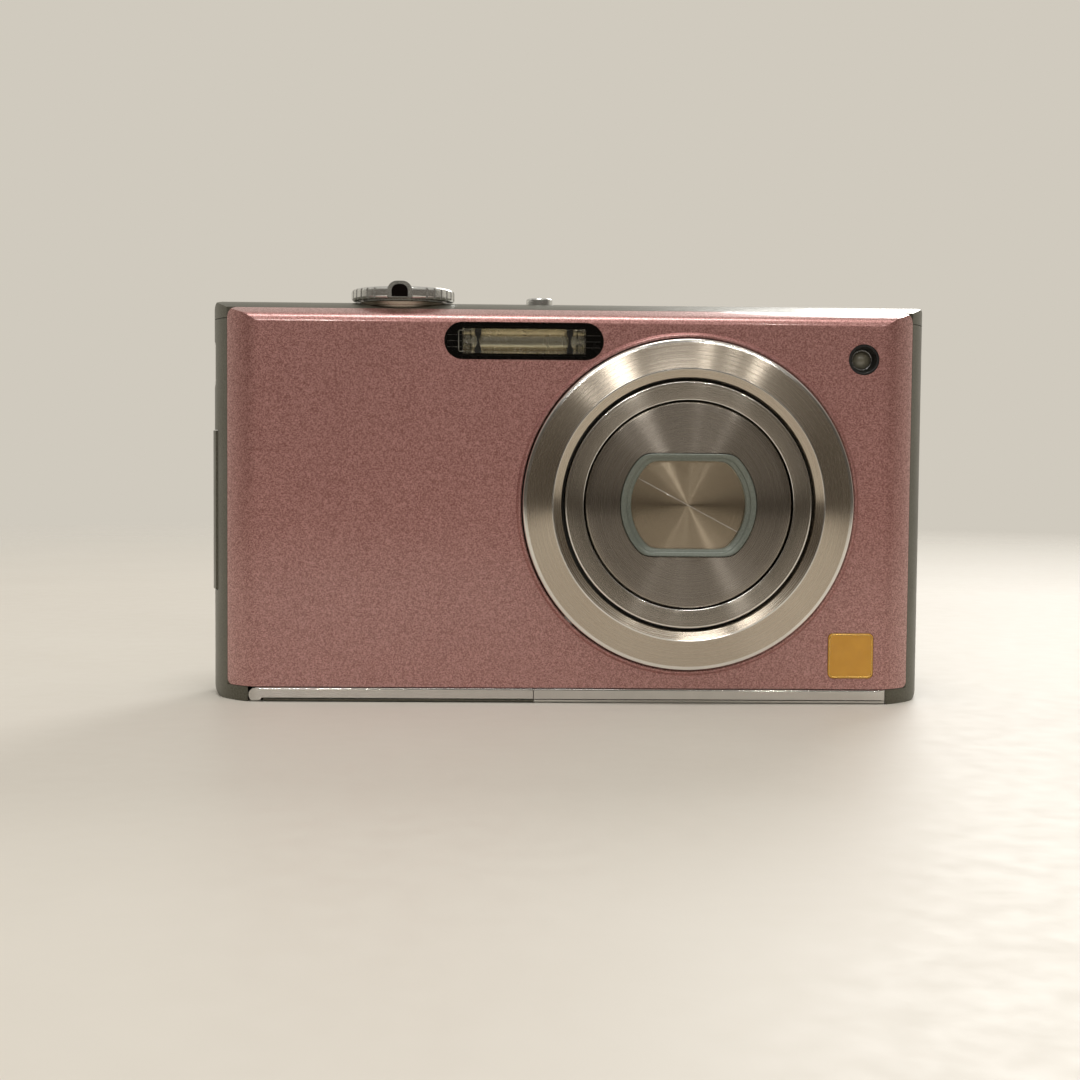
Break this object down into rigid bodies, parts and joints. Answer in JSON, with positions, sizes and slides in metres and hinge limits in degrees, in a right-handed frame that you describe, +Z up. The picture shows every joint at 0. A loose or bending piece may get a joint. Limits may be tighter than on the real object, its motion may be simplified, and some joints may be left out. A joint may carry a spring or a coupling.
{
  "type": "compact digital camera",
  "caption": "Slim pocket digital camera: metal shell with a retracting two-stage lens, flash, zoom lever, rear display, dial and keys, battery door and tripod socket.",
  "frame": {"origin": "bottom centre of the whole camera's box, on the surface it stands on", "axes": "+Z up, -Y out of the lens, +X to the right seen from the front"},
  "size_m": [0.0951, 0.022, 0.0547],
  "materials": {
    "pink_paint": "fine metallic pink, satin",
    "grey_satin": "satin grey",
    "polished_trim": "polished",
    "spun_metal": "spun, with a polished edge",
    "button_metal": "satin chrome",
    "window_metal": "satin grey green",
    "leaf_metal": "spun",
    "black_plastic": "matt black",
    "nylon": "moulded",
    "motor_steel": "plain steel",
    "lens_glass": "coated",
    "sensor_board": "board",
    "clear_plastic": "clear",
    "mirror_foil": "bright",
    "capacitor_sleeve": "sleeve",
    "ochre_enamel": "enamel",
    "board_green": "circuit board",
    "battery_wrap": "label-free wrap",
    "card_plastic": "plain",
    "contact_gold": "sprung contacts",
    "grey_plastic": "satin grey",
    "display_glass": "gloss",
    "display_stack": "dark display",
    "key_metal": "satin silver"
  },
  "bodies": {
    "camera_body": {"front_cover": "pink_paint", "mid_frame": "grey_satin", "rear_cover": "grey_satin", "top_cover": "grey_satin", "base_trim": "polished_trim", "lens_ring": "spun_metal", "lens_housing": "black_plastic", "zoom_motor": "motor_steel", "image_sensor": "sensor_board", "pins_and_rods": "motor_steel", "flash_window": "clear_plastic", "flash_bezel": "black_plastic", "flash_reflector": "mirror_foil", "flash_tube": "clear_plastic", "flash_capacitor": "capacitor_sleeve", "lamp_bezel": "black_plastic", "lamp_lens": "clear_plastic", "badge": "ochre_enamel", "zoom_dish": "polished_trim", "switch_boards": "board_green", "speaker_and_microphone": "black_plastic", "battery_bay": "nylon", "battery": "battery_wrap", "memory_card": "card_plastic", "battery_contacts": "contact_gold", "tripod_socket": "motor_steel", "base_screws": "motor_steel", "side_sockets": "motor_steel", "strap_eyelet": "motor_steel", "display_window": "display_glass", "display_panel": "display_stack", "main_board": "board_green"},
    "lens_outer": {"barrel_outer": "spun_metal"},
    "lens_inner": {"barrel_inner": "spun_metal", "window_frame": "window_metal", "lens_cell_and_shutter": "black_plastic", "lens_groups": "lens_glass"},
    "leaf_upper": {"barrier_leaf_upper": "leaf_metal"},
    "leaf_lower": {"barrier_leaf_lower": "leaf_metal"},
    "cam_drive": {"cam_ring": "nylon"},
    "motor_gear": {"drive_gear": "nylon"},
    "focus_group": {"focus_carrier": "black_plastic", "focus_lens": "lens_glass"},
    "zoom_lever": {"zoom_ring": "polished_trim"},
    "release_button": {"shutter_button": "button_metal"},
    "top_button": {"small_button": "polished_trim"},
    "power_slider": {"power_switch": "grey_plastic"},
    "dial": {"mode_dial": "key_metal"},
    "mode_slider": {"mode_switch": "grey_plastic"},
    "key_center": {"center_key": "key_metal"},
    "key_left": {"cursor_key_left": "key_metal"},
    "key_right": {"cursor_key_right": "key_metal"},
    "key_up": {"cursor_key_up": "key_metal"},
    "key_down": {"cursor_key_down": "key_metal"},
    "key_display": {"display_key": "key_metal"},
    "key_menu": {"menu_key": "key_metal"},
    "base_door": {"battery_door": "grey_plastic", "door_trim": "polished_trim"},
    "base_latch": {"door_latch": "grey_plastic"},
    "side_flap": {"side_door": "grey_plastic"}
  },
  "joints": [
    {"name": "cam_ring_turn", "type": "hinge", "parent": "camera_body", "child": "cam_drive", "pos_m": [0.0153, -0.0092, 0.026], "axis": [0, 1, 0], "range_deg": [0, 80]},
    {"name": "outer_barrel_slide", "type": "slide", "parent": "camera_body", "child": "lens_outer", "axis": [0, -1, 0], "range_m": [0, 0.0072]},
    {"name": "inner_barrel_slide", "type": "slide", "parent": "lens_outer", "child": "lens_inner", "axis": [0, -1, 0], "range_m": [0, 0.0084]},
    {"name": "leaf_upper_turn", "type": "hinge", "parent": "lens_inner", "child": "leaf_upper", "pos_m": [0.02492, -0.00969, 0.02236], "axis": [0, 1, 0], "range_deg": [0, 26]},
    {"name": "leaf_lower_turn", "type": "hinge", "parent": "lens_inner", "child": "leaf_lower", "pos_m": [0.00568, -0.00969, 0.02964], "axis": [0, 1, 0], "range_deg": [0, 26]},
    {"name": "drive_gear_turn", "type": "hinge", "parent": "camera_body", "child": "motor_gear", "pos_m": [-0.00008, -0.0092, 0.01062], "axis": [0, 1, 0], "range_deg": [-355.02, 0]},
    {"name": "focus_slide", "type": "slide", "parent": "camera_body", "child": "focus_group", "axis": [0, -1, 0], "range_m": [0, 0.0007]},
    {"name": "zoom_lever_turn", "type": "hinge", "parent": "camera_body", "child": "zoom_lever", "pos_m": [-0.0222, -0.0002, 0], "axis": [0, 0, 1], "range_deg": [-20, 20], "stiffness_Nm_per_rad": 0.004},
    {"name": "release_press", "type": "slide", "parent": "camera_body", "child": "release_button", "axis": [0, 0, -1], "range_m": [0, 0.0008], "stiffness_N_per_m": 600},
    {"name": "top_button_press", "type": "slide", "parent": "camera_body", "child": "top_button", "axis": [0, 0, -1], "range_m": [0, 0.0005], "stiffness_N_per_m": 600},
    {"name": "power_slide", "type": "slide", "parent": "camera_body", "child": "power_slider", "axis": [1, 0, 0], "range_m": [0, 0.0032]},
    {"name": "dial_turn", "type": "hinge", "parent": "camera_body", "child": "dial", "pos_m": [-0.0334, 0.0106, 0.0412], "axis": [0, 1, 0], "continuous": true},
    {"name": "mode_slide", "type": "slide", "parent": "camera_body", "child": "mode_slider", "axis": [1, 0, 0], "range_m": [0, 0.003]},
    {"name": "key_center_press", "type": "slide", "parent": "camera_body", "child": "key_center", "axis": [0, -1, 0], "range_m": [0, 0.0003], "stiffness_N_per_m": 600},
    {"name": "key_left_press", "type": "slide", "parent": "camera_body", "child": "key_left", "axis": [0, -1, 0], "range_m": [0, 0.0003], "stiffness_N_per_m": 600},
    {"name": "key_right_press", "type": "slide", "parent": "camera_body", "child": "key_right", "axis": [0, -1, 0], "range_m": [0, 0.0003], "stiffness_N_per_m": 600},
    {"name": "key_up_press", "type": "slide", "parent": "camera_body", "child": "key_up", "axis": [0, -1, 0], "range_m": [0, 0.0003], "stiffness_N_per_m": 600},
    {"name": "key_down_press", "type": "slide", "parent": "camera_body", "child": "key_down", "axis": [0, -1, 0], "range_m": [0, 0.0003], "stiffness_N_per_m": 600},
    {"name": "key_display_press", "type": "slide", "parent": "camera_body", "child": "key_display", "axis": [0, -1, 0], "range_m": [0, 0.0003], "stiffness_N_per_m": 600},
    {"name": "key_menu_press", "type": "slide", "parent": "camera_body", "child": "key_menu", "axis": [0, -1, 0], "range_m": [0, 0.0003], "stiffness_N_per_m": 600},
    {"name": "base_door_turn", "type": "hinge", "parent": "camera_body", "child": "base_door", "pos_m": [-0.0407, -0.0092, 0.0009], "axis": [0, 1, 0], "range_deg": [0, 95]},
    {"name": "base_latch_slide", "type": "slide", "parent": "base_door", "child": "base_latch", "axis": [1, 0, 0], "range_m": [0, 0.0016]},
    {"name": "side_flap_turn", "type": "hinge", "parent": "camera_body", "child": "side_flap", "pos_m": [-0.04613, 0.00475, 0], "axis": [0, 0, -1], "range_deg": [0, 95]}
  ],
  "couplings": [
    {"joint": "outer_barrel_slide", "follows": "cam_ring_turn", "m_per_rad": 0.005156},
    {"joint": "inner_barrel_slide", "follows": "cam_ring_turn", "m_per_rad": 0.006016},
    {"joint": "leaf_upper_turn", "follows": "cam_ring_turn", "ratio": 0.325},
    {"joint": "leaf_lower_turn", "follows": "cam_ring_turn", "ratio": 0.325},
    {"joint": "drive_gear_turn", "follows": "cam_ring_turn", "ratio": -4.4375}
  ]
}
